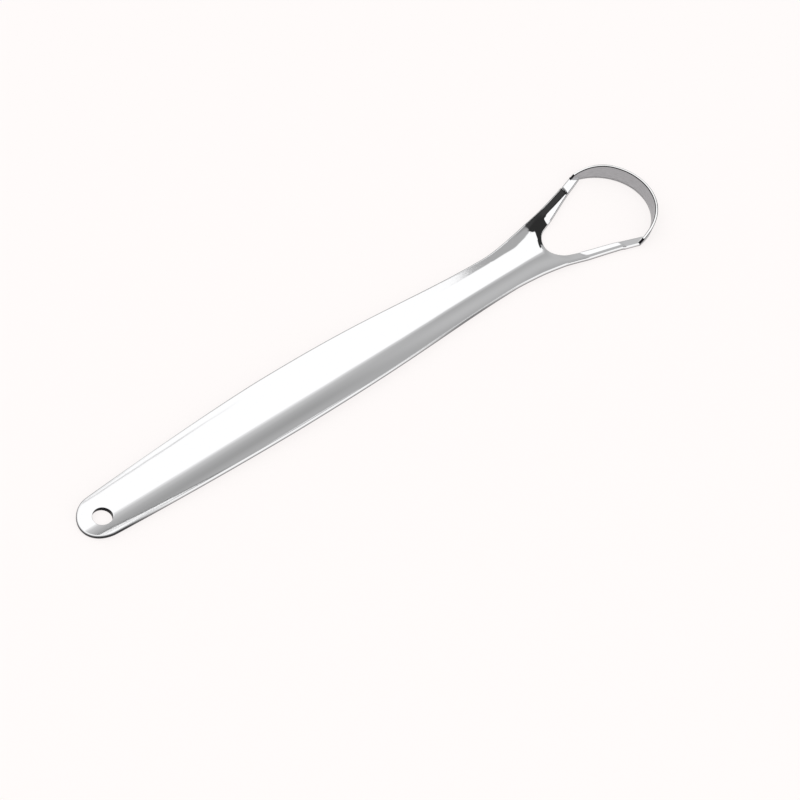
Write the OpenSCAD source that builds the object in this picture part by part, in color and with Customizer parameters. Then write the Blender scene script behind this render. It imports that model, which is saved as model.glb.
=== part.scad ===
// Tongue scraper: a pressed stainless steel handle that forks into two arms,
// and a curved scraping band that stands across the ends of the arms.
//
// Millimetres. The origin is the centre of the hang hole, on the surface that
// the scraper lies on. +X runs along the handle to the head, and +Z is the side
// that the channel of the handle opens to and the band stands up on.

/* [Sheet] */
// Thickness of the steel sheet of the handle and fork
sheet_t = 0.75; // [0.6:0.05:1.2]
// Radius rolled along every edge of the sheet
edge_r = 0.25; // [0.1:0.05:0.25]

/* [Tail] */
// Width of the round tail end, across the hang hole
tail_w = 10.1; // [8:0.1:12]
// Diameter of the hang hole
hole_d = 4; // [2:0.1:5]
// Hang hole to the place where the channel has its full depth
tail_fade = 9; // [4:0.5:20]

/* [Handle] */
// Hang hole to the widest place of the handle
belly_x = 43.5; // [35:0.5:55]
// Width of the handle at its widest place
belly_w = 14.2; // [12:0.1:17]
// Hang hole to the narrow neck
neck_x = 100.5; // [90:0.5:106]
// Width of the neck
neck_w = 10.1; // [8:0.1:12]
// Inside radius of the channel pressed along the handle
channel_r = 12.5; // [10:0.5:25]

/* [Fork] */
// Hang hole to the crotch of the opening
crotch_x = 112.8; // [109:0.1:115]
// Radius of the crotch
crotch_r = 4.3; // [3:0.05:4.6]
// Height of the rims over the bottom of the channel, where the fork spreads
rim_h = 1.35; // [0.9:0.05:2]
// Height of the arms' flat land over the bottom of the channel
land_h = 0.45; // [0.2:0.05:1.2]
// Width of the flank pressed up along the outside of each arm
flank_w = 1.25; // [0.6:0.05:1.5]
// Slope of the flank
flank_a = 20; // [8:1:30]
// Start of the arms' straight edges to the place where their flat land is complete
land_start = 2.5; // [0.5:0.1:4]
// Length of the plain tip that the flank stops short of
tip_len = 3.3; // [1.5:0.1:5]

/* [Head] */
// Hang hole to the centre of the band's arc
head_x = 127.8; // [126:0.1:134]
// Inside radius of the band, at the arms
band_r = 10.6; // [9:0.1:12]
// Thickness of the band
band_t = 0.6; // [0.45:0.05:1]
// Height of the band over the top of the arms, at its middle
band_h = 2.55; // [1.5:0.05:4]
// How far the band leans outwards
band_lean = 22; // [5:1:30]
// Half of the angle that the band turns through
band_half_a = 82; // [79:0.5:87]
// Width of an arm's tip along the inside of the band, as an angle of the arc
tip_a = 10.5; // [8:0.5:16]
// Height of the slanted cut at each end of the band
end_h = 0.95; // [0.4:0.05:1.4]
// Length, along the arc, in which the band rises to its full height
rise_len = 9; // [4:0.5:14]
// Rounding of the band's free edge
lip_r = 0.2; // [0.05:0.05:0.2]
// Rounding of the band's lower outside edge
heel_r = 0.35; // [0.1:0.05:0.5]

/* [Hidden] */

// How sharply the sides swell, fall to the neck and spread into the fork
swell_share = 1.5;
fall_share = 1.35;
spread_share = 1.47;
// Depth of the channel at the hang hole, as a share of its full depth
tail_depth_share = 0.9;
// Height of the band at its very ends, as a share of its lip's radius
end_share = 1.5;
// Length in which the flank stops short of the tip
press_step = 0.9;
// Overrun of the hole's cut
cut = 3;

// The round tail starts this share of its quarter turn off its middle
tail_start_share = 0.02;
// Steps along the tail's arc, the handle, the crotch, each pressed stretch and the band
tail_steps = 9;
handle_steps = 18;
crotch_steps = 8;
press_steps = 6;
band_steps = 72;
// Steps across a flank, across half of the channel or an arm, and round a quarter edge
flank_steps = 2;
channel_steps = 5;
round_steps = 2;

steel = [0.80, 0.80, 0.81];
band_steel = [0.74, 0.74, 0.76];

function mix(a, b, k) = a + (b - a) * k;
function clamp01(k) = max(0, min(1, k));
function smooth(k) = let(c = clamp01(k)) c * c * (3 - 2 * c);
// Steps from a to b, without a itself
function steps(a, b, n) = [for (i = [1 : n]) mix(a, b, i / n)];

tail_r = tail_w / 2;
// The sides leave the tail's circle along its tangent
tail_slope = (belly_w / 2 - tail_r) * swell_share / belly_x;
tail_side = tail_r * norm([1, tail_slope]);

band_out_r = band_r + band_t;
function head_point(r, a) = [head_x + r * cos(a), r * sin(a)];
// Outer corner of an arm, where the band ends, and inner corner, where the arm meets the band
corner = head_point(band_out_r, band_half_a);
inner_corner = head_point(band_r, band_half_a - tip_a);

// The straight inside edge of an arm touches the crotch's circle
crotch_cx = crotch_x + crotch_r;
reach = inner_corner - [crotch_cx, 0];
arm_a = atan2(reach[1], reach[0]) - asin(crotch_r / norm(reach));
arm_way = [cos(arm_a), sin(arm_a)];
// The same edge, drawn into the sheet by the rolled edge: where it leaves the crotch's circle,
// and where it meets the band
row_r = crotch_r + edge_r;
row_crotch_x = crotch_cx - row_r;
row_touch = [crotch_cx - row_r * sin(arm_a), row_r * cos(arm_a)];
from_head = row_touch - [head_x, 0];
tip_reach = sqrt(band_r * band_r - from_head * from_head + pow(from_head * arm_way, 2))
    - from_head * arm_way;
tip_row = row_touch + tip_reach * arm_way;
tip_row_a = atan2(tip_row[1], tip_row[0] - head_x);

land_x = row_touch[0] + land_start;
tip_x = corner[0] - tip_len;

// Half of the plan width at x
function half_w(x) =
    x < belly_x ? mix(tail_side, belly_w / 2, 1 - pow(1 - x / belly_x, swell_share)) :
    x < neck_x ? mix(neck_w / 2, belly_w / 2,
        (1 + cos(180 * pow((x - belly_x) / (neck_x - belly_x), fall_share))) / 2) :
    mix(neck_w / 2, corner[1], pow((x - neck_x) / (corner[0] - neck_x), spread_share));

// Unit normal of the plan outline, on the +Y side
function side_normal(x) =
    let(d = edge_r / 2, s = (half_w(x + d) - half_w(x - d)) / (2 * d))
    [-s, 1] / norm([s, 1]);

// Half width of the opening at x, drawn in by the rolled edge, and the way out of the sheet there
function opening_w(x) =
    x <= row_crotch_x ? 0 :
    x < row_touch[0] ? sqrt(row_r * row_r - pow(crotch_cx - x, 2)) :
    row_touch[1] + (x - row_touch[0]) * tan(arm_a);
function opening_normal(x) =
    let(a = x < row_touch[0] ? acos(min(1, (crotch_cx - x) / row_r)) : 90 - arm_a)
    [cos(a), -sin(a)];

// Rises from 0 to 1 between the crotch and the land, and where the flank stops
function landed(x) = clamp01((x - crotch_x) / (land_x - crotch_x));
function tipped(x) = smooth((x - tip_x + press_step / 2) / press_step);

// Radius of the channel at x: it opens as the fork spreads, so that the rims stay level
function section_r(x) =
    x < neck_x ? channel_r : max(channel_r, pow(half_w(x), 2) / (2 * rim_h));

// Height of the pressed channel over its bottom line
function channel_z(x, y) =
    let(r = section_r(x), k = mix(tail_depth_share, 1, smooth(x / tail_fade)))
    k * (r - sqrt(r * r - y * y));

// Height of an arm: a flat land, and a flank that stops short of the tip
function arm_z(x, y) =
    let(rise = tan(flank_a) * (1 - tipped(x)))
    land_h + rise * max(0, abs(y) - (half_w(x) - flank_w));

// Height of the top of the sheet: past the crotch it goes down from the channel to the land
function top_z(x, y) = sheet_t + mix(channel_z(x, y), arm_z(x, y), landed(x));

// Height of the underside: the sheet keeps its thickness on the slopes
function bottom_z(x, y) =
    let(d = edge_r / 2, s = (top_z(x, abs(y) + d) - top_z(x, abs(y))) / d)
    top_z(x, y) - sheet_t * norm([1, s]);

// A station across the +Y half, in plan: its outer row q with the way out n, the row at the foot
// of the flank, and its inner row with the way out. On the handle the inner row is the centre line.
function station(q, n) =
    let(x = q[0], w = opening_w(x))
    [q, n, [x, max((w + q[1]) / 2, q[1] - flank_w)], [x, w], opening_normal(x)];
function station_at(x) = let(n = side_normal(x)) station([x, half_w(x) - edge_r / n[1]], n);

// The last station runs round an arm's tip, which ends on the inside and the end of the band
tip_station = [
    head_point(band_out_r - edge_r, band_half_a), [cos(band_half_a), sin(band_half_a)],
    head_point(band_r, band_half_a), tip_row, (inner_corner - tip_row) / edge_r];

stations = concat(
    [for (i = [0 : tail_steps])
        let(
            a = (90 - atan(tail_slope)) * max(tail_start_share, i / tail_steps),
            n = [-cos(a), sin(a)])
        station((tail_r - edge_r) * n, n)],
    [for (x = concat(
        steps(0, tail_fade, tail_steps),
        steps(tail_fade, neck_x, handle_steps),
        steps(neck_x, row_crotch_x - press_step, press_steps),
        [for (i = [0 : crotch_steps])
            crotch_cx - row_r * cos((90 - arm_a) * i / crotch_steps)],
        steps(row_touch[0], land_x, press_steps),
        steps(land_x, tip_x - press_step / 2, press_steps),
        steps(tip_x - press_step / 2, tip_x + press_step / 2, press_steps)))
        station_at(x)],
    [tip_station]);

// Plan places of a station's rows, from the outer edge inwards. Those of the tip follow the band.
function row_places(s) = concat(
    [for (i = [0 : flank_steps - 1]) mix(s[0], s[2], i / flank_steps)],
    [for (i = [0 : channel_steps])
        s == tip_station ? head_point(band_r, mix(band_half_a, tip_row_a, i / channel_steps)) :
        mix(s[2], s[3], i / channel_steps)]);

// A rolled edge from the top of the sheet to its underside, at plan point q with the way out n
function rolled_edge(q, n) =
    let(
        up = top_z(q[0], q[1]),
        down = bottom_z(q[0], q[1]),
        climb = up - top_z(q[0], q[1] - sign(n[1]) * edge_r),
        turns = [for (i = [1 : round_steps]) 90 * i / round_steps])
    concat(
        [for (a = turns)
            concat(q + edge_r * sin(a) * n, up + climb * sin(a) - edge_r * (1 - cos(a)))],
        [for (i = [round_steps - 1 : -1 : 0])
            let(a = turns[i])
            concat(q + edge_r * sin(a) * n, down + climb * sin(a) + edge_r * (1 - cos(a)))]);

// The ring of a station: top rows inwards, inner edge down, underside rows outwards, outer edge up
function ring(s) =
    let(places = row_places(s), outer = rolled_edge(s[0], s[1]), n = len(places))
    concat(
        [for (q = places) concat(q, top_z(q[0], q[1]))],
        rolled_edge(s[3], s[4]),
        [for (i = [n - 1 : -1 : 0]) concat(places[i], bottom_z(places[i][0], places[i][1]))],
        [for (i = [len(outer) - 1 : -1 : 0]) outer[i]]);

// The sheet is one skin of two mirrored halves. Up to the crotch they meet on the centre line,
// and past it each half closes round its own arm.
module sheet_skin() {
    rings = [for (s = stations) ring(s)];
    n = len(rings[0]);
    last = len(rings) - 1;
    // Ring places of the innermost top row and the innermost underside row
    in_top = flank_steps + channel_steps;
    in_under = in_top + 2 * round_steps + 1;
    // The last station on which both halves still share the centre line
    crotch_i = len([for (s = stations) if (s[3][1] == 0) s]) - 1;
    // Number of a ring's point: h is the half, i the station and k the ring place
    function id(h, i, k) =
        let(c = (k + n) % n, shared = i <= crotch_i && c >= in_top && c <= in_under)
        i * n + c + (h == 1 && !shared ? n * (last + 1) : 0);
    // The ring place on the other face of the sheet
    function under(k) = in_top + in_under - k;
    // Two triangles, turned over on the mirrored half
    function quad(h, a, b, c, d) = h == 0 ? [[a, b, c], [a, c, d]] : [[c, b, a], [d, c, a]];
    walls = [for (h = [0, 1], i = [0 : last - 1], k = [0 : n - 1])
        if (!(i < crotch_i && k >= in_top && k < in_under))
        each quad(h, id(h, i, k), id(h, i + 1, k), id(h, i + 1, k + 1), id(h, i, k + 1))];
    tail_cap = [for (h = [0, 1], k = [-round_steps : in_top - 1])
        each quad(h, id(h, 0, k), id(h, 0, k + 1), id(h, 0, under(k + 1)), id(h, 0, under(k)))];
    tips = [for (h = [0, 1], k = [-round_steps : in_top + round_steps - 1])
        each quad(h, id(h, last, k), id(h, last, under(k)),
            id(h, last, under(k + 1)), id(h, last, k + 1))];
    polyhedron(
        points = concat(
            [for (r = rings) each r],
            [for (r = rings) each [for (p = r) [p[0], -p[1], p[2]]]]),
        faces = concat(walls, tail_cap, tips),
        convexity = 6);
}

module handle_fork() {
    color(steel)
    difference() {
        sheet_skin();
        translate([0, 0, -cut]) cylinder(d = hole_d, h = 2 * cut, $fn = 64);
    }
}

// Height of the band over the arms, at length s along the arc from its nearer end
function band_rise(s) =
    s < end_h ? s : mix(end_h, band_h, 1 - pow(1 - clamp01((s - end_h) / (rise_len - end_h)), 2));

// One closed section of the band at angle a, from its foot up the outside and down the inside
function band_section(a) =
    let(
        s = (band_half_a - abs(a)) * PI / 180 * band_r,
        foot = land_h,
        knee = land_h + sheet_t,
        h = max(end_share * lip_r, band_rise(s)),
        lean = tan(band_lean),
        top = knee + h,
        turns = [for (i = [0 : round_steps]) 90 * i / round_steps],
        profile = concat(
            [[0, foot]],
            [for (t = turns)
                [band_t - heel_r * (1 - sin(t)), foot + heel_r * (1 - cos(t))]],
            [[band_t, knee]],
            [for (t = turns)
                [band_t + lean * (h - lip_r * (1 - sin(t))) - lip_r * (1 - cos(t)),
                    top - lip_r * (1 - sin(t))]],
            [for (t = turns)
                [lean * (h - lip_r * (1 - cos(t))) + lip_r * (1 - sin(t)),
                    top - lip_r * (1 - cos(t))]],
            [[0, knee]]))
    [for (p = profile) concat(head_point(band_r + p[0], a), p[1])];

module scraper_band() {
    sections = [for (i = [0 : band_steps])
        band_section(mix(-band_half_a, band_half_a, i / band_steps))];
    n = len(sections[0]);
    end = band_steps * n;
    color(band_steel)
    polyhedron(
        points = [for (s = sections) each s],
        faces = concat(
            [for (i = [0 : band_steps - 1], k = [0 : n - 1])
                let(a = i * n + k, b = i * n + (k + 1) % n)
                each [[a, b, b + n], [a, b + n, a + n]]],
            [for (k = [1 : n - 2]) [0, k + 1, k]],
            [for (k = [1 : n - 2]) [end, end + k, end + k + 1]]),
        convexity = 6);
}

handle_fork();
scraper_band();
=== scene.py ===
# %% [markdown]
# # A pressed steel tongue scraper
#
# The object is one slim stainless steel tool: a channelled handle with a hang
# hole, which forks into two arms, and a curved band that stands across the
# ends of the arms and does the scraping. Polished steel shows nothing but its
# reflections, so two things decide how it looks: how true the curve of the
# surface is, and what stands round it in the studio. This lesson works out
# the sheet from formulas on fine grids, dresses it in two steel finishes, and
# then builds the tent of light that the steel mirrors.

import bpy
import numpy as np
from mathutils import Matrix, Vector


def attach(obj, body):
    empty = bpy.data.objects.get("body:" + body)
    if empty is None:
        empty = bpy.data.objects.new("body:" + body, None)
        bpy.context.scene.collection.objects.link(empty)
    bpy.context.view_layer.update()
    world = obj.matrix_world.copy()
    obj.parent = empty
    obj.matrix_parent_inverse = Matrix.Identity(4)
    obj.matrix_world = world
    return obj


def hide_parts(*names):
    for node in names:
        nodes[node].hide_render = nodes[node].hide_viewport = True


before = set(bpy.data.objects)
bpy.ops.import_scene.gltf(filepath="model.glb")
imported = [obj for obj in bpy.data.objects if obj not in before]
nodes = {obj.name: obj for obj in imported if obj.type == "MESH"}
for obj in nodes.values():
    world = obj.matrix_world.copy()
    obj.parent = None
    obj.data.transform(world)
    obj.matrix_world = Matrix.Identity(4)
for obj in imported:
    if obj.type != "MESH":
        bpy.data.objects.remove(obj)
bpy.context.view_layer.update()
MM = 0.001
print("nodes:", sorted(nodes))

# %% [markdown]
# ## The sizes of the sheet
#
# Every length of the tool is in millimetres: the origin is the centre of the
# hang hole, X runs to the head and Z is up. The sheet could be read back from
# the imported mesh, but its facets would show in a mirror finish, so the surface
# is worked out again from the same sizes. A few differ by a few tenths of a
# millimetre, such as the height of the arms and the lean of the band, because
# a mirror shows errors that are too small to see in the outline.

# %% Sizes of the handle
# The sheet with its rolled edge, and the hang hole, whose wall leans by PUNCH_LEAN
SHEET_T = 0.75
EDGE_R = 0.25
HOLE_R = 2.0
HOLE_EDGE_R = 0.04
PUNCH_LEAN = 0.22
# The outline: tail, belly and neck, and the powers of the curves that join them
TAIL_R = 5.047
BELLY_X = 43.5
BELLY_W = 14.2
NECK_X = 100.5
NECK_W = 10.1
SWELL = 1.5
FALL = 1.35
SPREAD = 1.47
# The round channel
CHANNEL_R = 12.5
print("handle: %.1f mm wide at the belly, %.1f at the neck" % (BELLY_W, NECK_W))

# %% Sizes of the fork
# The opening's round end and the height that the channel's rim keeps as the fork spreads
CROTCH_X = 112.9
CROTCH_R = 4.3
RIM_H = 1.35
# The arms' flat land, the flank raised beside it, and the tips, where the flank ends
LAND_H = 0.34
LAND_START = 2.5
FLANK_W = 1.35
FLANK_A = np.radians(20)
TIP_LEN = 3.3
PRESS_STEP = 0.9
# The arc of the band, which also shapes the arms' ends
HEAD_X = 127.8
BAND_R = 10.6
BAND_T = 0.574
BAND_HALF_A = np.radians(82)
TIP_A = np.radians(13)
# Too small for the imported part: rounded creases and bends, tilted tips, and the roll of the cut
CREASE_R = 0.12
BEND_LEN = 0.5
TIP_TILT = np.radians(3.5)
ROLL_SLOPE = 0.2
ROLL_W = 1.1
ROLL_ARM_W = 1.9
ROLL_FADE = 0.8
# The tool isn't quite even: the opening was cut, and the flanks pressed, a little off the middle
OPENING_OFF = -0.45
OFF_START = 106.0
PRESS_OFF = -0.4
print("fork: opening from x %.1f, band's centre at x %.1f" % (CROTCH_X, HEAD_X))

# %% [markdown]
# ## Where the arms run
#
# On the real tool the opening is one cut: a round crotch and two straight
# sides that reach the band at its inner corners. The angle of the arms could
# be typed in, but then a change of the crotch or of the band would leave a
# step. It is worked out instead as the tangent from a corner to the circle.

# %% Corners and tangents


def head_point(r, a):
    """The centre of the band's arc plus r (cos(a), sin(a))."""
    return np.stack([HEAD_X + r * np.cos(a), r * np.sin(a)], axis=-1)


# The tail's circle meets the swell where both have about the same slope
TAIL_SLOPE = (BELLY_W / 2 - TAIL_R) * SWELL / BELLY_X
TAIL_SIDE = TAIL_R * np.hypot(1, TAIL_SLOPE)
BAND_OUT_R = BAND_R + BAND_T
CORNER = head_point(BAND_OUT_R, BAND_HALF_A)
INNER_CORNER = head_point(BAND_R, BAND_HALF_A - TIP_A)
CROTCH_CX = CROTCH_X + CROTCH_R
reach = INNER_CORNER - [CROTCH_CX, 0]
ARM_A = np.arctan2(reach[1], reach[0]) - np.arcsin(CROTCH_R / np.hypot(*reach))
# The grid's last row beside the opening lies one edge roll away from the cut
ROW_R = CROTCH_R + EDGE_R
ROW_CROTCH_X = CROTCH_CX - ROW_R
ROW_TOUCH_X = CROTCH_CX - ROW_R * np.sin(ARM_A)
ROW_TOUCH_Y = ROW_R * np.cos(ARM_A)
LAND_X = ROW_TOUCH_X + LAND_START
TIP_X = CORNER[0] - TIP_LEN
# That row meets the band's inner arc where |start + k way| is the arc's radius
arm_way = np.array([np.cos(ARM_A), np.sin(ARM_A)])
from_head = np.array([ROW_TOUCH_X - HEAD_X, ROW_TOUCH_Y])
along = from_head @ arm_way
row_end = from_head + (np.sqrt(BAND_R**2 - from_head @ from_head + along**2) - along) * arm_way
ROW_END_A = np.arctan2(row_end[1], row_end[0])
print("arm angle %.2f deg, land from x %.2f, tips from x %.2f" % (np.degrees(ARM_A), LAND_X, TIP_X))

# %% [markdown]
# ## The outline of the sheet
#
# The blank is slim: it swells from the round tail to a belly in the palm,
# falls to a neck for thumb and finger, and spreads to the fork. A few Bezier
# points could draw it, but three formulas joined at the belly and the neck
# have no point to wobble, and a wobble would show along a bright edge.

# %% Half widths


def mix(a, b, k):
    """a + (b - a) k: the value a share k of the way from a to b."""
    return a + (b - a) * k


def smooth(k):
    """3 k^2 - 2 k^3 with k held between 0 and 1: a step with soft ends."""
    k = np.clip(k, 0, 1)
    return k * k * (3 - 2 * k)


def half_w(x):
    """Half of the plan width at x: a swell to the belly, a cosine fall to the neck, and a
    power curve out to the corner of the fork."""
    x = np.maximum(x, 0)
    swell = mix(TAIL_SIDE, BELLY_W / 2, 1 - np.maximum(1 - x / BELLY_X, 0) ** SWELL)
    k = np.clip((x - BELLY_X) / (NECK_X - BELLY_X), 0, 1)
    fall = mix(NECK_W / 2, BELLY_W / 2, (1 + np.cos(np.pi * k**FALL)) / 2)
    k = np.maximum((x - NECK_X) / (CORNER[0] - NECK_X), 0)
    spread = mix(NECK_W / 2, CORNER[1], k**SPREAD)
    return np.where(x < BELLY_X, swell, np.where(x < NECK_X, fall, spread))


def opening_w(x):
    """Half width of the opening at x: a circle at the crotch and a straight line along the arm."""
    circle = np.sqrt(np.maximum(ROW_R**2 - (CROTCH_CX - x) ** 2, 0))
    line = ROW_TOUCH_Y + (x - ROW_TOUCH_X) * np.tan(ARM_A)
    return np.where(x <= ROW_CROTCH_X, 0, np.where(x < ROW_TOUCH_X, circle, line))


def opening_y(x):
    """How far the opening's middle line lies off the handle's: OPENING_OFF times a smooth step
    up before the crotch and one down along the arms, whose ends are even again."""
    come = smooth((x - OFF_START) / (ROW_CROTCH_X - OFF_START))
    return OPENING_OFF * come * (1 - smooth((x - CROTCH_CX) / (TIP_X - CROTCH_CX)))


for x in (0.0, BELLY_X, NECK_X, LAND_X):
    print("x %6.1f: half width %.2f, opening %.2f mm" % (x, half_w(x), opening_w(x)))

# %% [markdown]
# ## The height of the sheet
#
# A press gives the sheet its form: a round channel along the handle, which
# opens as the fork spreads and eases down to a flat land on each arm, with a
# flank raised along the arm's outside. All of it is one height above each
# point of the plan, so one formula gives the whole top, and its slope gives
# the normals. Sculpting could add the creases, but not to a tenth of a
# millimetre.

# %% Height of the top


def soft_ramp(u, c):
    """(u + sqrt(u^2 + c^2)) / 2: nought before u = 0 and u after it, with a corner rounded by c."""
    return (u + np.sqrt(u * u + c**2)) / 2


def top_z(x, y):
    """Height of the top: the channel's circle r - sqrt(r^2 - y^2), eased past the crotch into
    a land with a ramp that starts one flank's width inside the outline. The press that made
    the ramps sat off the middle too, so they differ a little in width."""
    w = half_w(x)
    r = np.where(x < NECK_X, CHANNEL_R, np.maximum(CHANNEL_R, w * w / (2 * RIM_H)))
    channel = r - np.sqrt(r * r - y * y)
    tipped = smooth((x - TIP_X) / PRESS_STEP + 0.5)
    out = np.abs(y - PRESS_OFF) - (w - FLANK_W)
    ramp = np.tan(FLANK_A) * (1 - tipped) * soft_ramp(out, CREASE_R)
    arm = LAND_H + ramp + np.tan(TIP_TILT) * tipped * out
    bends = soft_ramp(x - CROTCH_X, BEND_LEN) - soft_ramp(x - LAND_X, BEND_LEN)
    return SHEET_T + mix(channel, arm, bends / (LAND_X - CROTCH_X))


def cut_roll(x, y):
    """How far the punch drew the top down beside the opening: a parabola of the distance
    from its circle or, past the point where that meets the arm's line, from the line. It
    has the same slope at the cut all round and is wider on the arms."""
    y = y - opening_y(x)
    dx, dy = x - ROW_TOUCH_X, np.abs(y) - ROW_TOUCH_Y
    past_circle = dx * np.cos(ARM_A) + dy * np.sin(ARM_A) > 0
    from_line = dy * np.cos(ARM_A) - dx * np.sin(ARM_A)
    away = np.where(past_circle, from_line, np.hypot(x - CROTCH_CX, y) - ROW_R)
    fade = 1 - smooth((x - LAND_X + ROLL_FADE) / ROLL_FADE)
    w = mix(ROLL_W, ROLL_ARM_W, smooth((x - CROTCH_X) / ROLL_ARM_W))
    return ROLL_SLOPE * w / 2 * (1 - np.clip(away / w, 0, 1)) ** 2 * fade


def top_normal(x, y, e=0.01):
    """Unit normal of the top, from central differences of its height over e on each side."""
    zx = (top_z(x + e, y) - top_z(x - e, y)) / (2 * e)
    zy = (top_z(x, y + e) - top_z(x, y - e)) / (2 * e)
    n = np.stack([-zx, -zy, np.ones_like(zx)], axis=-1)
    return n / np.linalg.norm(n, axis=-1, keepdims=True)


def top_w(x):
    """Half width of the top at x. The cut edge is square to the sloping sheet, so the top
    stops short of the outline by t sin(slope) + r (1 - sin(slope))."""
    s = (half_w(x + EDGE_R) - half_w(x - EDGE_R)) / (2 * EDGE_R)
    across = 1 / np.hypot(1, s)
    y = half_w(x) - EDGE_R
    slope = (top_z(x, y) - top_z(x, y - EDGE_R)) / EDGE_R * across
    lean = slope / np.hypot(1, slope)
    return half_w(x) - (SHEET_T * lean + EDGE_R * (1 - lean)) / across


for x in (0.0, BELLY_X, NECK_X, LAND_X):
    print("x %6.1f: outline %.2f, top %.2f mm" % (x, half_w(x), top_w(x)))

# %% [markdown]
# ## The plan of the sheet
#
# The plan is laid out as grids that share their border points: rings round
# the hang hole out to the tail, columns across the handle, and columns across
# each arm. A grid that follows the outline keeps the reflections free of
# facets, which a mesh cut with a boolean doesn't.

# %% Columns across the handle
# Rows outside, at and inside the flank's crease. The fine ones reach CREASE_REACH roundings
ROWS = (7, 4, 24)
CREASE_REACH = 1.5


def rows_between(outer, foot, inner):
    """Places from the outer edge to the inner one, closer together at the flank's crease."""
    c = np.minimum(CREASE_R * CREASE_REACH, (foot - inner) / 2)
    stops = [outer, foot + c, foot - c, inner]
    parts = [
        mix(a, b, np.linspace(0, 1, n, endpoint=False)[None, :])
        for a, b, n in zip(stops[:-1], stops[1:], ROWS)
    ]
    return np.concatenate(parts + [inner], axis=1)


def columns(x, side=1):
    """Plan points of the half on one side, in columns at x: an array of len(x) by rows by 2."""
    x = np.asarray(x)[:, None]
    outer, inner = top_w(x), opening_w(x) + side * opening_y(x)
    flank_in = half_w(x) - FLANK_W + side * PRESS_OFF * smooth((x - NECK_X) / FLANK_W)
    foot = np.maximum((outer + inner) / 2, flank_in)
    y = rows_between(outer, foot, inner)
    return np.stack([np.broadcast_to(x, y.shape), side * y], axis=-1)


print("a column has", columns([BELLY_X]).shape[1], "points")

# %% Rings round the hang hole
# The rings end at the column at PATCH_X. Points on the tail's arc and along its side, and rings
PATCH_X = 9.0
ARC_POINTS = 60
SIDE_POINTS = 31
RINGS = 25


def tail_patch():
    """Rings from the hang hole to the tail's rim and to the first column of the handle.
    A ring's point is the share t of the way from the hole's edge to the border, with the
    border point and the hole's edge on one ray."""
    a = np.linspace(0, np.pi / 2 - np.arctan(TAIL_SLOPE), ARC_POINTS)
    n = np.stack([-np.cos(a), np.sin(a)], axis=-1)
    at_edge, inside = TAIL_R * n, (TAIL_R - EDGE_R) * n
    slope = (top_z(*at_edge.T) - top_z(*inside.T)) / EDGE_R
    lean = slope / np.hypot(1, slope)
    arc = (TAIL_R - SHEET_T * lean - EDGE_R * (1 - lean))[:, None] * n
    x = np.linspace(0, PATCH_X, SIDE_POINTS)[1:]
    side = np.stack([x, top_w(x)], axis=-1)
    cross = columns([PATCH_X])[0][1:]
    upper = np.concatenate([arc, side, cross])
    lower = upper[1:-1][::-1] * [1, -1]
    border = np.concatenate([upper, lower])
    hole = border / np.linalg.norm(border, axis=1, keepdims=True) * (HOLE_R + HOLE_EDGE_R)
    t = np.linspace(0, 1, RINGS)[:, None, None]
    ring = mix(hole[None], border[None], t)
    return np.concatenate([ring, ring[:, :1]], axis=1)


print("the tail has %d rings of %d points" % tail_patch().shape[:2])

# %% Columns across the arms
# Columns round the crotch, crowded where it starts, to the land, along it, over the press's
# step at the tips, and turning from there to the band
CROTCH_COLUMNS = 37
CROWDING = 1.5
RAMP_COLUMNS = 17
LAND_COLUMNS = 25
STEP_COLUMNS = 13
TURN_COLUMNS = 17


def tip_column(side):
    """The last column: straight from the corner to the band's inner arc, and along the arc to
    the row beside the opening."""
    n = ROWS[0] + ROWS[1] // 2
    k = np.linspace(0, 1, n, endpoint=False)[:, None]
    outer = head_point(BAND_OUT_R - EDGE_R, BAND_HALF_A)
    edge = mix(outer, head_point(BAND_R, BAND_HALF_A), k)
    arc = head_point(BAND_R, np.linspace(BAND_HALF_A, ROW_END_A, sum(ROWS) + 1 - n))
    return np.concatenate([edge, arc]) * [1, side]


def arm_columns(side):
    """Columns from the crotch to the tip: straight ones at x, with x on the crotch's circle at
    even steps of its angle to a power, and then a share of the way to the tip's column."""
    a = (np.pi / 2 - ARM_A) * np.linspace(0, 1, CROTCH_COLUMNS) ** CROWDING
    step_from, step_to = TIP_X - PRESS_STEP / 2, TIP_X + PRESS_STEP / 2
    x = np.concatenate([
        CROTCH_CX - ROW_R * np.cos(a),
        np.linspace(ROW_TOUCH_X, LAND_X, RAMP_COLUMNS)[1:],
        np.linspace(LAND_X, step_from, LAND_COLUMNS)[1:],
        np.linspace(step_from, step_to, STEP_COLUMNS)[1:],
    ])
    straight = columns(x, side)
    turn = np.linspace(0, 1, TURN_COLUMNS)[1:, None, None]
    return np.concatenate([straight, mix(straight[-1][None], tip_column(side)[None], turn)])


print("an arm has %d columns of %d points" % arm_columns(1).shape[:2])

# %% [markdown]
# ## One plan from five grids
#
# The grids touch, but each has its own points along the borders. Merge by
# Distance could join them in the finished mesh. Merging them here, in the
# plan, leaves the edges used only once as exactly the rims of the sheet, and
# the rims are needed next.

# %% Weld the plan
# Points are merged on a grid of a tenth of a micron. Columns along the handle, finer at the end
GRID_PER_MM = 1e4
HANDLE_COLUMNS = 200
LAST_COLUMNS = 24


def quads(rows, cols, start):
    """Corner numbers of the quads of a grid whose points are numbered from start."""
    a = start + np.arange((rows - 1) * cols).reshape(rows - 1, cols)[:, :-1]
    return np.stack([a, a + cols, a + cols + 1, a + 1], axis=-1).reshape(-1, 4)


def quad_area(corners):
    """Signed areas of quads: half the sum of x1 y2 - x2 y1 round the corners."""
    turned = corners[:, [1, 2, 3, 0]]
    return 0.5 * (corners[..., 0] * turned[..., 1] - turned[..., 0] * corners[..., 1]).sum(1)


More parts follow.
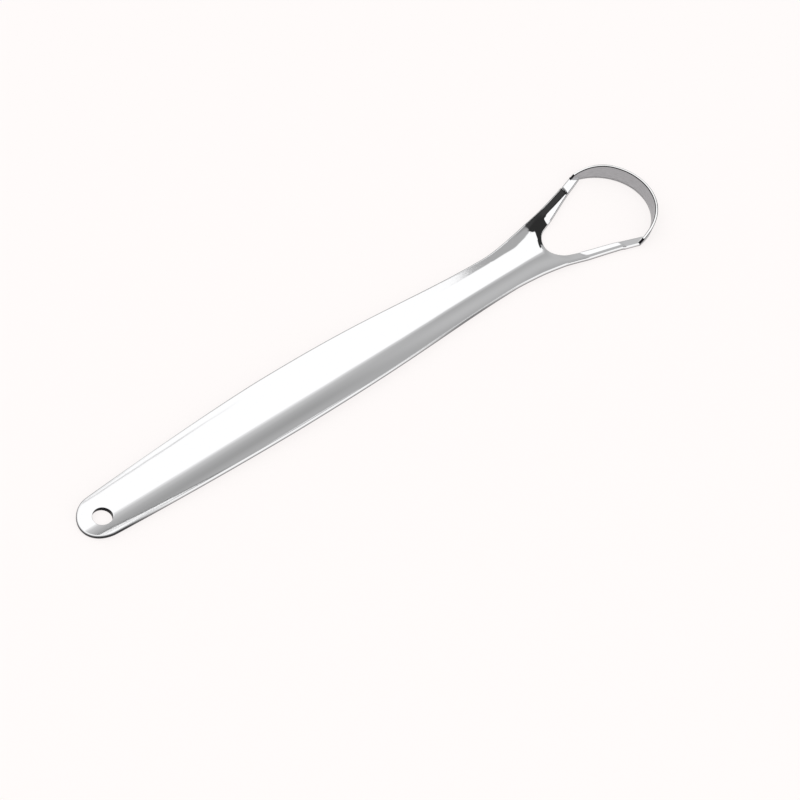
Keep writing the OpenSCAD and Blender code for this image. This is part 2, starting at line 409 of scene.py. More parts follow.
def weld(parts):
    """Joins grids of points into quads that all turn the same way: a grid whose signed area is
    less than nought is turned round, and points with equal rounded coordinates become one."""
    points, faces, start = [], [], 0
    for grid in parts:
        rows, cols = grid.shape[:2]
        q = quads(rows, cols, start)
        points.append(grid.reshape(-1, 2))
        faces.append(q[:, ::-1] if quad_area(points[-1][q - start]).sum() < 0 else q)
        start += rows * cols
    points, faces = np.concatenate(points), np.concatenate(faces)
    _, first, same = np.unique(
        np.round(points * GRID_PER_MM), axis=0, return_index=True, return_inverse=True)
    return points[first], same.reshape(-1)[faces]


finer_from = ROW_CROTCH_X - 2 * ROLL_W
x = np.append(
    np.linspace(PATCH_X, finer_from, HANDLE_COLUMNS),
    np.linspace(finer_from, ROW_CROTCH_X, LAST_COLUMNS)[1:])
plan, plan_quads = weld([tail_patch(), columns(x), columns(x, -1), arm_columns(1), arm_columns(-1)])
area = quad_area(plan[plan_quads])
print("plan: %d points, %d quads, %.1f mm2, smallest %.5f mm2" % (
    len(plan), len(plan_quads), area.sum(), area.min()))

# %% [markdown]
# ## The rims, their polish and their painted shade
#
# The cut edges are bare steel, rougher than the buffed faces, and their colour
# is painted darker as shade: darker towards the foot of the edge, at the tail,
# on the far side and before the fork, and darkest on the hole's wall. The
# material needs to know where the steel was cut and how much painted shade it
# carries. A painted texture could say so, but the edge is worked out as rows of
# points anyway, so each point simply carries a number.

# %% Rims, cut marks and painted shade
# The mark of a bare cut edge, whose colour paints shade, and of the hole's wall, which the material
# paints darker still as shade in the hole
CUT_AND_SHADE_MARK = 1.0
HOLE_WALL_SHADE_MARK = 2.0
# The lift of the long edges' mark comes in along the tail and is weaker on the far side and under
# the sheet, so the painted shade is deepest at the tail, on the far side and towards the foot
LIFT_FADE = 15.0
FAR_LIFT = 0.5
TOP_LIFT = 0.9
UNDER_LIFT = 0.25
# Painted shade on the top edges before the fork, where the lift is held back
NECK_SHADE = 0.75
NECK_SHADE_X = 88.0
NECK_SHADE_LEN = 12.0
# The powers of sin(a) by which the mark comes in round the roll, so that the painted shade is
# deepest on the wall: bare, and added by the lift
MARK_POWER = 1.2
LIFT_POWER = 0.8


def rim_of(faces, points):
    """The edges used by one face only, and at each rim point the unit way out of the sheet:
    the mean of its two edges' right-hand normals."""
    pairs = np.concatenate([
        np.stack([faces[:, i], faces[:, (i + 1) % 4]], axis=1)
        for i in range(4)
    ])
    pairs = pairs[pairs[:, 0] != pairs[:, 1]]
    big = len(points)
    code, back = pairs[:, 0] * big + pairs[:, 1], pairs[:, 1] * big + pairs[:, 0]
    rim = pairs[~np.isin(code, back)]
    way = points[rim[:, 1]] - points[rim[:, 0]]
    way = np.stack([way[:, 1], -way[:, 0]], axis=1) / np.linalg.norm(way, axis=1, keepdims=True)
    out = np.zeros((big, 2))
    np.add.at(out, rim[:, 0], way)
    np.add.at(out, rim[:, 1], way)
    length = np.linalg.norm(out, axis=1, keepdims=True)
    return rim, out / np.where(length > 0, length, 1)


def cut_and_shade_marks(x, y, at_hole, a):
    """The marks of the rim at angle a of the roll, above and below: the bare cut's mark, which
    also paints shade, less its lift, or at the hole the wall's mark of painted shade, times
    sin(a) to a power that grows with the lift."""
    lift = smooth(x / LIFT_FADE) * np.where(y < 0, 1, FAR_LIFT)
    neck_shade = NECK_SHADE * np.exp(-((x - NECK_SHADE_X) / NECK_SHADE_LEN) ** 2)
    comes_in = np.sin(a) ** (MARK_POWER + LIFT_POWER * lift)
    above = np.where(at_hole, HOLE_WALL_SHADE_MARK, CUT_AND_SHADE_MARK - (TOP_LIFT - neck_shade) * lift)
    below = np.where(at_hole, HOLE_WALL_SHADE_MARK, CUT_AND_SHADE_MARK - UNDER_LIFT * lift)
    return above * comes_in, below * comes_in


rim, way_out = rim_of(plan_quads, plan)
print("rims of the sheet: %d edges" % len(rim))

# %% [markdown]
# ## From the plan to a sheet of steel
#
# The plan becomes a sheet with two faces and a rolled edge. The underside
# lies one sheet thickness below the top, square to it, as on real pressed
# sheet. The edge follows each rim as a strip: a quarter turn down from the
# top, the cut wall, and a quarter turn into the underside. Solidify and Bevel
# could do this, but they give no say in the edge's radius at the hole and at
# the tips, and they lose the mark of where the steel was cut and of the shade painted on it.

# %% The two faces


def two_faces():
    """Top, underside and normals at the plan's points: the underside is the top less t times
    the normal. Round the hole the normal turns straight up, as the punch cut, and the
    underside is drawn towards the tail."""
    x, y = plan[:, 0], plan[:, 1]
    n = top_normal(x, y)
    near_hole = 1 - smooth((np.hypot(x, y) - HOLE_R - HOLE_EDGE_R) / (HOLE_R / 2))
    n = mix(n, [0, 0, 1], near_hole[:, None])
    n /= np.linalg.norm(n, axis=1, keepdims=True)
    top = np.column_stack([plan, top_z(x, y)])
    under = top - SHEET_T * n
    under[:, 0] -= PUNCH_LEAN * near_hole
    top[:, 2] -= cut_roll(x, y)
    return top, under, n


top, under, _ = two_faces()
gap = np.linalg.norm(top - under, axis=1)
print("from the top to the underside: %.2f to %.2f mm" % (gap.min(), gap.max()))

# %% Roll the edges
# Under the band the edge is almost sharp. A point this near to the band's arc lies on it
BAND_EDGE_R = HOLE_EDGE_R / 5
SAME_PLACE = 1e-3


def sheet_mesh(turns=6):
    """Points, quads and marks of the sheet, which carry the bare cut and its painted shade. A
    roll's point at angle a is P + r sin(a) out - r (1 - cos(a)) n, with n the sheet's normal and
    out square to it."""
    top, under, n = two_faces()
    used = np.unique(rim)
    place = np.full(len(plan), -1)
    place[used] = np.arange(len(used))
    n, top_rim, under_rim = n[used], top[used], under[used]
    out = np.column_stack([way_out[used], np.zeros(len(used))])
    out -= (out * n).sum(1, keepdims=True) * n
    out /= np.linalg.norm(out, axis=1, keepdims=True)
    x, y = top_rim[:, 0], top_rim[:, 1]
    at_hole = np.hypot(x, y) < HOLE_R + 2 * HOLE_EDGE_R
    at_band = np.abs(np.hypot(x - HEAD_X, y) - BAND_R) < SAME_PLACE
    r = np.where(at_hole, HOLE_EDGE_R, np.where(at_band, BAND_EDGE_R, EDGE_R))[:, None]
    rows, marks = [], []
    for a in np.radians(np.linspace(0, 90, turns + 1))[1:]:
        rows.append(top_rim + r * np.sin(a) * out - r * (1 - np.cos(a)) * n)
        marks.append(cut_and_shade_marks(x, y, at_hole, a)[0])
    for a in np.radians(np.linspace(90, 0, turns + 1))[:-1]:
        rows.append(under_rim + r * np.sin(a) * out + r * (1 - np.cos(a)) * n)
        marks.append(cut_and_shade_marks(x, y, at_hole, a)[1])
    count = len(plan)
    first = 2 * count
    points = np.concatenate([top, under] + rows)
    mark = np.concatenate([np.zeros(first)] + marks)
    a, b = rim[:, 0], rim[:, 1]
    levels = [(a, b)] + [
        (first + k * len(used) + place[a], first + k * len(used) + place[b])
        for k in range(len(rows))
    ] + [(a + count, b + count)]
    strips = [
        np.stack([p[0], q[0], q[1], p[1]], axis=1)
        for p, q in zip(levels[:-1], levels[1:])
    ]
    faces = np.concatenate([plan_quads, plan_quads[:, ::-1] + count] + strips)
    return points, faces, mark


points, faces, mark = sheet_mesh()
print("sheet: %d points, %d quads, box %s to %s mm" % (
    len(points), len(faces), points.min(0).round(3), points.max(0).round(3)))

# %% Put the sheet in the scene


def new_piece(name, points, faces, marks):
    """A smooth mesh object in metres from points in millimetres, with its marks as attributes."""
    mesh = bpy.data.meshes.new(name)
    mesh.from_pydata((points * MM).tolist(), [], [list(f) for f in faces])
    mesh.polygons.foreach_set("use_smooth", np.ones(len(mesh.polygons), bool))
    for key, values in marks.items():
        kind, field = ("FLOAT_VECTOR", "vector") if values.ndim == 2 else ("FLOAT", "value")
        layer = mesh.attributes.new(key, kind, "POINT")
        layer.data.foreach_set(field, values.astype(np.float32).ravel())
    mesh.validate()
    mesh.update()
    piece = bpy.data.objects.new(name, mesh)
    bpy.context.scene.collection.objects.link(piece)
    return piece


pressed_handle = new_piece("pressed_handle", points, faces, {"cut_and_shade_mark": mark})
print(pressed_handle.name, "has", len(pressed_handle.data.polygons), "faces")

# %% [markdown]
# ## The section of the scraping band
#
# The band is a narrow strip that stands on the arms' tips and leans outwards
# as it rises. Its heel and its lip are rounded, and its inside is flat. The
# section could be a bevelled curve object, but that can't change its height
# alone, so it is a list of stretches, each worked out for all the heights at
# once.

# %% Heights and section
BAND_H = 2.65
BAND_LEAN = np.radians(10)
# The slanted cut at each end is END_H high, and the height is full after RISE_LEN
END_H = 0.95
RISE_LEN = 9.0
# The roundings of the lip and the heel, and the least height in roundings of the lip
LIP_R = 0.2
HEEL_R = 0.35
END_SHARE = 1.5
FACE_ROWS = 9


def band_height(s):
    """Height over the arms at length s along the arc from the nearer end: a slanted cut,
    then a parabola that is level where it reaches the full height."""
    k = np.clip((s - END_H) / (RISE_LEN - END_H), 0, 1)
    return np.where(s < END_H, s, mix(END_H, BAND_H, 1 - (1 - k) ** 2))


def band_profile(h, turns=6):
    """The closed section for height h, as distance out and height over the foot, and the lip
    mark: heel roll, knee, lip roll, and back down the inside. A rounding of radius r at angle
    t stands r (1 - sin(t)) and r (1 - cos(t)) off its two faces."""
    lean = np.tan(BAND_LEAN)
    t = np.linspace(0, np.pi / 2, turns + 1)[None, :]
    off_sin, off_cos = LIP_R * (1 - np.sin(t)), LIP_R * (1 - np.cos(t))
    h = h[:, None]
    one = np.ones_like(h)
    rise = np.linspace(0, 1, FACE_ROWS)[None, 1:-1]
    top = SHEET_T + h
    face_out, face_up = lean * (h - LIP_R) * rise, SHEET_T + (h - LIP_R) * rise
    parts = [
        (0 * one, 0 * one, 0),
        (BAND_T - HEEL_R * (1 - np.sin(t)) * one, HEEL_R * (1 - np.cos(t)) * one, 0),
        (BAND_T * one, SHEET_T * one, 0),
        (BAND_T + face_out, face_up, 0),
        (BAND_T + lean * (h - off_sin) - off_cos, top - off_sin, t / (np.pi / 2)),
        (lean * (h - off_cos) + off_sin, top - off_cos, 1 - t / (np.pi / 2)),
        (face_out[:, ::-1], face_up[:, ::-1], 0),
        (0 * one, SHEET_T * one, 0),
    ]
    out = np.concatenate([p[0] for p in parts], axis=1)
    up = np.concatenate([p[1] for p in parts], axis=1)
    lip = np.concatenate([np.broadcast_to(p[2], p[0].shape) for p in parts], axis=1)
    return out, up, lip


print("the band's section has", band_profile(np.array([BAND_H]))[0].shape[1], "points")

# %% [markdown]
# ## Carry the section along the arc
#
# The band's arc isn't a plain circle: it bulges a little towards the front,
# where the strip was bent tightest. The height grows from the slanted cut at
# each end to the full height at the middle. The band carries its own
# coordinates, along the strip and up it in millimetres, because the grinding
# marks follow the strip.

# %% Sweep the band
NOSE = 0.55
NOSE_A = np.radians(-12)
# A face of the slanted cut counts as sheared where the lip mark of all its corners is over this
SHEARED_LIP = 0.2


def band_mesh(steps=240):
    """Points, quads, end triangles and marks of the band: the profile at each angle, set out
    from an arc that bulges by nose cos^2, a little to one side. The strip mark is millimetres
    along the arc and up the section, and the lip mark."""
    a = np.linspace(-BAND_HALF_A, BAND_HALF_A, steps + 1)
    s = (BAND_HALF_A - np.abs(a)) * BAND_R
    h = np.maximum(END_SHARE * LIP_R, band_height(s))
    out, up, lip = band_profile(h)
    rows, cols = out.shape
    a = a[:, None]
    xy = head_point(BAND_R + NOSE * np.cos(a - NOSE_A) ** 2 + out, a)
    points = np.concatenate([xy, (LAND_H + up)[..., None]], axis=-1).reshape(-1, 3)
    strip = np.stack([np.broadcast_to(a * BAND_R, out.shape), up, lip], axis=-1).reshape(-1, 3)
    i = np.arange(rows - 1)[:, None] * cols
    k = np.arange(cols)[None, :]
    k2 = (k + 1) % cols
    sides = np.stack([i + k, i + cols + k, i + cols + k2, i + k2], axis=-1).reshape(-1, 4)
    end = (rows - 1) * cols
    fan = np.arange(1, cols - 1)
    ends = np.concatenate([
        np.stack([0 * fan, fan, fan + 1], axis=1),
        np.stack([end + 0 * fan, end + fan + 1, end + fan], axis=1),
    ])
    return points, sides, ends, strip


points, sides, ends, strip = band_mesh()
ground_band = new_piece("ground_band", points, sides.tolist() + ends.tolist(), {"strip": strip})
near_end = BAND_HALF_A * BAND_R - np.abs(strip[:, 0]) < END_H
cut = near_end & (strip[:, 2] > SHEARED_LIP)
sheared = np.append(cut[sides].all(axis=1), np.ones(len(ends), bool))
ground_band.data.polygons.foreach_set("use_smooth", ~sheared)
layer = ground_band.data.attributes.new("sheared_end", "FLOAT", "FACE")
layer.data.foreach_set("value", sheared.astype(np.float32))
print("ground_band: %d points, %d faces, %d of them sheared" % (
    len(points), len(sheared), sheared.sum()))

# %% [markdown]
# ## Two finishes of the same steel
#
# Both pieces are stainless steel, so both are metals with a pale, almost
# neutral colour. Only the surface differs: the handle is buffed to a mirror,
# and the band is left satin from a belt. A material is a tree of nodes, and
# one small function adds a node to it with its settings and its links.

# %% Helpers for materials


def linear(code):
    """Linear colour of an sRGB hex value: c / 12.92 below 0.04045, else
    ((c + 0.055) / 1.055)^2.4."""
    c = np.array([int(code[i:i + 2], 16) for i in (1, 3, 5)]) / 255
    return tuple(np.where(c <= 0.04045, c / 12.92, ((c + 0.055) / 1.055) ** 2.4)) + (1.0,)


def add(tree, kind, inputs=None, out=0, **settings):
    """Adds a node, sets its properties, fills its inputs by name or number with a value or
    another node's output, and gives back its output. Map Range takes the value, the range it
    comes from and the range it goes to as 0 to 4. Mix takes the share as 0, numbers as 2 and
    3, and colours as 6 and 7."""
    node = tree.nodes.new(kind)
    for key, value in settings.items():
        setattr(node, key, value)
    for key, value in (inputs or {}).items():
        if isinstance(value, bpy.types.NodeSocket):
            tree.links.new(value, node.inputs[key])
        else:
            node.inputs[key].default_value = value
    return node.outputs[out] if node.outputs else node


def new_material(name):
    """An empty node material and its tree."""
    material = bpy.data.materials.new(name)
    material.use_nodes = True
    material.node_tree.nodes.clear()
    return material, material.node_tree


# Near-black steel for the band's sheared ends and for the painted shade on the hole's wall, and the
# range in which nearly all of a noise lies
DARK_STEEL_AND_SHADE = linear("#1E1E20")
NOISE_LOW = 0.3
NOISE_HIGH = 0.7
print("unpolished steel in linear light:", [round(float(c), 4) for c in DARK_STEEL_AND_SHADE])

# %% [markdown]
# ## Mirror steel
#
# The handle is stainless sheet, pressed and then buffed along its length. The
# eye gets a mirror whose reflections are drawn out a little along the handle
# and bent a little by the press. Where the sheet was cut, the steel is bare and
# rougher, and its darker colour is partly that bare steel and partly painted
# shade, darkest in the hole.

# %% Mirror steel for the handle
# Buffing lines and press waves per millimetre along, across and up: the lines are 0.12 mm
# apart, which is coarser than real ones so that they show, and about 6 mm long. The waves are
# about 4 mm wide and 11 mm long
LINES_PER_MM = (0.16, 8.0, 8.0)
WAVES_PER_MM = (0.09, 0.26, 0.26)
WAVE_H = 0.2 * MM
LINE_H = 0.02 * MM
WAVE_STRENGTH = 0.06
LINE_STRENGTH = 0.05
MIRROR_ROUGH = (0.02, 0.04)
CUT_ROUGH = 0.3

mirror_steel, tree = new_material("mirror_polished_stainless_steel")
where = add(tree, "ShaderNodeTexCoord", out=3)
# The cut mark: the bare cut steel, and the shade painted on the edges
cut = add(tree, "ShaderNodeAttribute", out=2, attribute_name="cut_and_shade_mark")
noises = []
for per_mm, detail in ((LINES_PER_MM, 2.0), (WAVES_PER_MM, 1.0)):
    at = add(tree, "ShaderNodeMapping", {"Vector": where, "Scale": [n / MM for n in per_mm]})
    noises.append(add(tree, "ShaderNodeTexNoise", {"Vector": at, "Scale": 1.0, "Detail": detail}))
lines, waves = noises
# The waves are too shallow to see, but they bend a reflection
bent = add(tree, "ShaderNodeBump", {
    "Height": waves, "Strength": WAVE_STRENGTH, "Distance": WAVE_H})
lined = add(tree, "ShaderNodeBump", {
    "Height": lines, "Strength": LINE_STRENGTH, "Distance": LINE_H, "Normal": bent})
gloss = add(tree, "ShaderNodeMapRange", {
    0: lines, 1: NOISE_LOW, 2: NOISE_HIGH, 3: MIRROR_ROUGH[0], 4: MIRROR_ROUGH[1]})
rough = add(tree, "ShaderNodeMix", {0: cut, 2: gloss, 3: CUT_ROUGH}, data_type="FLOAT")
# The mark is 1 on a bare cut and 2 on the hole's wall; the colours it brings in are painted shade
# over bare steel
hole_shade = add(tree, "ShaderNodeMath", {0: cut, 1: CUT_AND_SHADE_MARK}, operation="SUBTRACT", use_clamp=True)
tone = linear("#EFEFF0")
# The cut edges are painted #363638 and the hole's wall near black: painted shade over the bare
# steel
for share, colour in ((cut, linear("#363638")), (hole_shade, DARK_STEEL_AND_SHADE)):
    tone = add(tree, "ShaderNodeMix", {0: share, 6: tone, 7: colour}, out=2, data_type="RGBA")
steel = add(tree, "ShaderNodeBsdfPrincipled", {
    "Base Color": tone, "Metallic": 1.0, "Roughness": rough, "Normal": lined})
add(tree, "ShaderNodeOutputMaterial", {"Surface": steel})
print(mirror_steel.name, "has", len(tree.nodes), "nodes")

# %% [markdown]
# ## Satin steel
#
# The band is the same steel, ground on a belt along the strip. It reads as
# grey, because the marks scatter the light, and its grain runs round the arc.
# Object coordinates would draw straight marks through a curved strip, so the
# pattern reads the strip's own coordinates. The lip is buffed bright, with a
# painted line of shade where the ground face meets it, and the ends are sheared.

# %% Satin steel for the band
# Grinding marks per millimetre along the strip and up it: 0.25 mm apart and about 1.2 mm long,
# which is coarser than real ones so that they show
MARKS_PER_MM = (0.8, 4.0, 0.0)
MARK_H = 0.03 * MM
MARK_STRENGTH = 0.25
SATIN_ROUGH = (0.32, 0.45)
LIP_ROUGH = 0.12
# The lip mark runs from 0 on the face to 1 on the crest. Over these stretches of it the painted
# shade of the corner comes in, and higher up the bright steel
CORNER_SHADE_FROM = (0.0, 0.1)
BRIGHT_FROM = (0.65, 0.8)

satin_steel, tree = new_material("belt_ground_stainless_steel")
strip = add(tree, "ShaderNodeAttribute", out=1, attribute_name="strip")
sheared = add(tree, "ShaderNodeAttribute", out=2, attribute_name="sheared_end")
lip = add(tree, "ShaderNodeSeparateXYZ", {0: strip}, out=2)
marks_at = add(tree, "ShaderNodeMapping", {"Vector": strip, "Scale": MARKS_PER_MM})
marks = add(tree, "ShaderNodeTexNoise", {
    "Vector": marks_at, "Scale": 1.0, "Detail": 3.0, "Roughness": 0.6})
ground = add(tree, "ShaderNodeBump", {
    "Height": marks, "Strength": MARK_STRENGTH, "Distance": MARK_H})
rough = add(tree, "ShaderNodeMapRange", {
    0: marks, 1: NOISE_LOW, 2: NOISE_HIGH, 3: SATIN_ROUGH[0], 4: SATIN_ROUGH[1]})
rough = add(tree, "ShaderNodeMix", {0: lip, 2: rough, 3: LIP_ROUGH}, data_type="FLOAT")
corner_shade, bright = [
    add(tree, "ShaderNodeMapRange", {0: lip, 1: low, 2: high})
    for low, high in (CORNER_SHADE_FROM, BRIGHT_FROM)
]
tone = linear("#8C8C8E")
for share, colour in (
    (marks, linear("#C4C4C6")),
    # The dark line between the ground face and the lip is painted shade in that corner
    (corner_shade, linear("#202022")),
    (bright, linear("#F2F2F2")),
    (sheared, DARK_STEEL_AND_SHADE),
):
    tone = add(tree, "ShaderNodeMix", {0: share, 6: tone, 7: colour}, out=2, data_type="RGBA")
steel = add(tree, "ShaderNodeBsdfPrincipled", {
    "Base Color": tone, "Metallic": 1.0, "Roughness": rough, "Normal": ground})
add(tree, "ShaderNodeOutputMaterial", {"Surface": steel})
print(satin_steel.name, "has", len(tree.nodes), "nodes")

# %% [markdown]
# ## Put the pieces in the frame
#
# Each piece takes the place of one imported node and rides on its body. Nothing
# on this tool moves, so both ride on the root. Each piece gets its finish as its
# material.

# %% Dress the part
for piece, material, node, slot in (
    (pressed_handle, mirror_steel, "handle_fork", "polished_steel"),
    (ground_band, satin_steel, "scraper_band", "satin_steel"),
):
    piece.data.materials.append(material)
    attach(piece, "root")
    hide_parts(node)
    print(piece.name, "is", material.name)

# %% [markdown]
# ## The table
#
# The tool lies on a pale matt table that fades into a white background. A
# studio gets there by overexposing the background, which would also burn out
# the steel. Here the table glows where the camera or a mirror sees it, and
# stays matt for all other light, so the tool keeps a faint shadow.

# %% Table
PALE = linear("#FFFBFA")
# Half the table's side in metres, and the gap under the tool
TABLE_HALF = 2.0
TABLE_Z = -0.02 * MM
# The share of the glow in the table, and its strength, which gives the background its tone
GLOW_SHARE = 0.8
GLOW = 0.98

mesh = bpy.data.meshes.new("table")
corners = [(-1, -1), (1, -1), (1, 1), (-1, 1)]
points = [(i * TABLE_HALF, j * TABLE_HALF, TABLE_Z) for i, j in corners]
mesh.from_pydata(points, [], [(0, 1, 2, 3)])
table = bpy.data.objects.new("table", mesh)
bpy.context.scene.collection.objects.link(table)
pale, tree = new_material("pale_table")
path = add(tree, "ShaderNodeLightPath").node.outputs
seen = path["Is Camera Ray"]
for kind in ("Is Glossy Ray", "Is Transmission Ray"):
    seen = add(tree, "ShaderNodeMath", {0: seen, 1: path[kind]}, operation="MAXIMUM")
share = add(tree, "ShaderNodeMath", {0: seen, 1: GLOW_SHARE}, operation="MULTIPLY")
matt = add(tree, "ShaderNodeBsdfDiffuse", {"Color": PALE})
glow = add(tree, "ShaderNodeEmission", {"Color": PALE, "Strength": GLOW})
both = add(tree, "ShaderNodeMixShader", {0: share, 1: matt, 2: glow})
add(tree, "ShaderNodeOutputMaterial", {"Surface": both})
mesh.materials.append(pale)
print("table of %.0f m" % (2 * TABLE_HALF))

# %% [markdown]
# ## The tent of light
#
# A mirror needs something to mirror. The tool stands in a white tent, with a
# grey wall on its far side and a dark flag beyond its head. They could be
# planes in the scene, but those would get in the way when the tool is looked
# at from another side. So they are drawn in the world by direction: each card
# is the region where a few measures of the direction lie between two bounds.

# %% Measures of the direction
# The tent's light, which this pale steel mirrors as just white
TENT = 1.16
# A bound that no measure reaches, and the least divisor
FREE = 99.0
LEAST = 0.02

world = bpy.data.worlds.new("tent")
world.use_nodes = True
bpy.context.scene.world = world
tree = world.node_tree
tree.nodes.clear()


def over(a, b):
    """a / b, with b held above zero."""
    held = add(tree, "ShaderNodeMath", {0: b, 1: LEAST}, operation="MAXIMUM")
    return add(tree, "ShaderNodeMath", {0: a, 1: held}, operation="DIVIDE")


def between(value, low, high, soft):
    """1 where value is between low and high and 0 outside, with edges as wide as soft: a
    smooth step up at low times a smooth step down at high."""
    up = add(tree, "ShaderNodeMapRange", {
        0: value, 1: low - soft / 2, 2: low + soft / 2}, interpolation_type="SMOOTHSTEP")
    down = add(tree, "ShaderNodeMapRange", {
        0: value, 1: high - soft / 2, 2: high + soft / 2, 3: 1.0, 4: 0.0},
        interpolation_type="SMOOTHSTEP")
    return add(tree, "ShaderNodeMath", {0: up, 1: down}, operation="MULTIPLY")


def card(light, level, *edges):
    """The light with a card of an even level in front of it: light + (level - light) times
    the product of its edges. An edge is a measure, its low and high bound and its softness."""
    inside = between(*edges[0])
    for edge in edges[1:]:
        inside = add(tree, "ShaderNodeMath", {0: inside, 1: between(*edge)}, operation="MULTIPLY")
    return add(tree, "ShaderNodeMix", {0: inside, 2: light, 3: level}, data_type="FLOAT")


way = add(tree, "ShaderNodeTexCoord", out=0)
x, y, z = add(tree, "ShaderNodeSeparateXYZ", {0: way}).node.outputs
x_z, y_z, y_x = over(x, z), over(y, z), over(y, x)
print("the tent's light is", TENT)

# %% [markdown]
# ## The grey wall on the far side
#
# The wall gives the channel its soft grey band. Its top edge runs along the
# tool, 34 degrees off the zenith, and its tone changes towards the foot as
# the light falls off. The levels were chosen, one row for the handle
# and one for the neck, and the wall fades from one to the other.

# %% Wall
EDGE_SLOPE = -0.675
RISE = 0.045
HEIGHTS = (0.0, 0.045, 0.13, 0.22, 0.31, 0.40, 0.50, 0.60, 0.72, 0.80, 1.0)
TAIL_LEVELS = (TENT, 0.90, 0.64, 0.56, 0.475, 0.435, 0.395, 0.385, 0.43, 0.465, 0.47)
NECK_LEVELS = (TENT, 0.66, 0.46, 0.48, 0.52, 0.55, 0.55, 0.52, 0.46, 0.44, 0.44)

# Towards the head the top edge stands a little higher
raised = add(tree, "ShaderNodeMapRange", {0: x, 1: 0.45, 2: 0.47, 3: 0.0, 4: RISE})
under_edge = add(tree, "ShaderNodeMath", {0: z, 1: EDGE_SLOPE, 2: y}, operation="MULTIPLY_ADD")
under_edge = add(tree, "ShaderNodeMath", {0: under_edge, 1: raised}, operation="ADD")


def wall_ramp(levels):
    """The wall's light at each height under its top edge: straight lines between the levels."""
    ramp = add(tree, "ShaderNodeValToRGB", {0: under_edge})
    stops = ramp.node.color_ramp.elements
    for height in HEIGHTS[1:-1]:
        stops.new(height)
    for stop, height, level in zip(stops, HEIGHTS, levels):
        stop.position = height
        stop.color = (level / TENT, level / TENT, level / TENT, 1)
    return add(tree, "ShaderNodeMath", {0: ramp, 1: TENT}, operation="MULTIPLY")


near_tail, near_neck = wall_ramp(TAIL_LEVELS), wall_ramp(NECK_LEVELS)
to_neck = add(tree, "ShaderNodeMapRange", {0: x, 1: 0.415, 2: 0.465})
light = add(tree, "ShaderNodeMix", {0: to_neck, 2: near_tail, 3: near_neck}, data_type="FLOAT")
print("the wall has", len(HEIGHTS), "tones")

# %% [markdown]
# ## The cards in the tent
#
# The rest of the set is flat cards. On the tail's side the wall ends, and the
# tent shows again. Beyond the head stands the flag, which gives the fork its
# black reflections: they tell the eye that the arms are creased. A last, low
# wall stands behind the camera. It doesn't show in the photograph's view, and
# gives the steel its form when it is looked at from the head.

# %% Cards
# The wall's end runs along 10 x + z, and the tent's seam along 3.3 x + y
END_SLOPE = 10.0
SEAM_SLOPE = 3.3
# x / z of a sight line that is 6 degrees over the horizon
LOW_SIGHT = 9.0

end = add(tree, "ShaderNodeMath", {0: x, 1: END_SLOPE, 2: z}, operation="MULTIPLY_ADD")
seam = add(tree, "ShaderNodeMath", {0: x, 1: SEAM_SLOPE, 2: y}, operation="MULTIPLY_ADD")
# Each card has its level and then its edges. A later card stands in front of an earlier one
CARDS = (
    # The dark end of the wall, the tent past it, and a faint fold in the tent
    (0.16, (end, 3.86, 3.90, 0.02), (y, 0.65, FREE, 0.1)),
    (TENT, (end, -FREE, 3.86, 0.02), (y, 0.55, FREE, 0.1)),
    (0.55, (end, 3.79, 3.81, 0.01), (y, 0.80, FREE, 0.1)),
    # A seam of the tent, which shows as a faint line on the far side
    (0.70, (seam, 0.93, 0.96, 0.02), (x, -FREE, 0.385, 0.03), (z, 0.5, FREE, 0.1)),
    # The flag: its grey edge, its dark side, the black in it, and a grey gap
    (0.45, (x, 0.475, FREE, 0.001), (y_z, -0.36, -0.04, 0.03)),
    (0.12, (x_z, 0.80, LOW_SIGHT, 0.12), (y_z, -0.28, -0.04, 0.06)),
    (0.05, (x_z, 0.82, LOW_SIGHT, 0.04), (y_z, -0.20, -0.04, 0.04)),
    (0.50, (x_z, 0.92, FREE, 0.04), (y_x, 0.36, 0.66, 0.04)),
    # The flag's black middle, from its top to its foot
    (0.03, (x_z, 0.74, 0.95, 0.03), (y_z, -0.10, 0.50, 0.06)),
    (0.03, (x_z, 0.92, FREE, 0.04), (y_x, -0.10, 0.38, 0.05)),
    (0.03, (z, 0, 0.15, 0.04), (y_x, 0.60, 0.96, 0.03), (x, 0.65, FREE, 0.03)),
    # The low wall behind the camera
    (0.40, (x, -FREE, -0.30, 0.2), (z, -FREE, 0.52, 0.25)),
)
for level, *edges in CARDS:
    light = card(light, level, *edges)
print("the tent has", len(CARDS), "cards")

# %% Hang the tent in the world
path = add(tree, "ShaderNodeLightPath").node.outputs
tent = add(tree, "ShaderNodeBackground", {"Color": (1, 1, 1, 1), "Strength": light})
back = add(tree, "ShaderNodeBackground", {"Color": PALE, "Strength": 1.0})
seen = add(tree, "ShaderNodeMixShader", {0: path["Is Camera Ray"], 1: tent, 2: back})
add(tree, "ShaderNodeOutputWorld", {"Surface": seen})
print("tent of", len(tree.nodes), "nodes")

# %% [markdown]
# ## The lamp
#
# The tent alone would light the table evenly. One weak softbox, high on the
# near side, gives the tool the faint shadow that sets it down. It is left out
# of the reflections, where the tent already is.

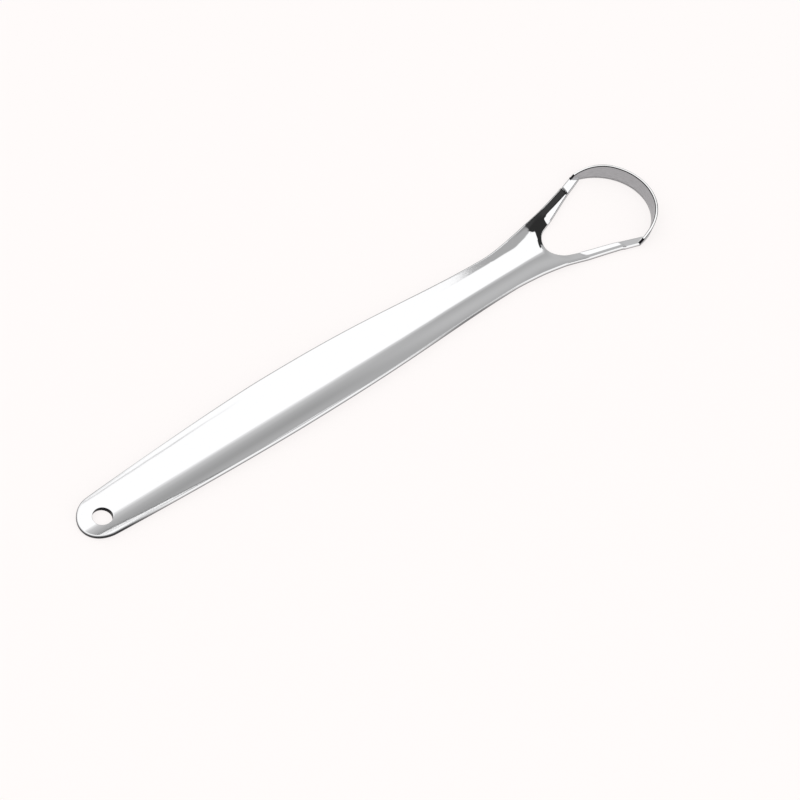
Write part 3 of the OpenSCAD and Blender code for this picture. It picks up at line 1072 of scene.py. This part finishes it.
# %% Lamp
# Lengths in metres
LAMP_SIZE = 0.8
LAMP_WATTS = 1.2
LAMP_AT = (-0.05, -0.25, 0.7)
TOOL_MIDDLE = Vector((0.07, 0, 0))

lamp = bpy.data.lights.new("softbox", "AREA")
lamp.shape = "SQUARE"
lamp.size = LAMP_SIZE
lamp.energy = LAMP_WATTS
softbox = bpy.data.objects.new("softbox", lamp)
softbox.location = LAMP_AT
softbox.rotation_euler = (TOOL_MIDDLE - softbox.location).to_track_quat("-Z", "Y").to_euler()
softbox.visible_glossy = False
bpy.context.scene.collection.objects.link(softbox)
print("softbox of %.1f m, %.2f m from the tool" % (
    LAMP_SIZE, (TOOL_MIDDLE - softbox.location).length))

# %% [markdown]
# ## The camera
#
# The photograph looks down at the tool from over its tail with a long lens.
# The place, the turn and the focal length were found by fitting the tool's
# outline; a focal length in pixels becomes millimetres on a 36 mm sensor.

# %% Camera
EYE = (-192.543, -258.535, 463.611)
YAW = 0.76617
PITCH = -0.91645
ROLL = 0.13468
FOCAL_PX = 2964.04
IMAGE_PX = 800
SENSOR = 36.0

ahead = Vector((np.cos(PITCH) * np.cos(YAW), np.cos(PITCH) * np.sin(YAW), np.sin(PITCH)))
right = ahead.cross(Vector((0, 0, 1))).normalized()
up = right.cross(ahead)
side = np.cos(ROLL) * right + np.sin(ROLL) * up
head_up = np.cos(ROLL) * up - np.sin(ROLL) * right
turned = Matrix((side, head_up, -ahead)).transposed().to_4x4()
lens = bpy.data.cameras.new("camera")
lens.sensor_width = SENSOR
lens.lens = FOCAL_PX / IMAGE_PX * SENSOR
lens.clip_start = 0.01
lens.clip_end = 10
camera = bpy.data.objects.new("camera", lens)
camera.matrix_world = Matrix.Translation(Vector(EYE) * MM) @ turned
bpy.context.scene.collection.objects.link(camera)
bpy.context.scene.camera = camera
print("lens %.1f mm" % lens.lens)

# %% [markdown]
# ## The view transform
#
# The colours render as written with the Standard view transform.

# %% View transform
bpy.context.scene.view_settings.view_transform = "Standard"
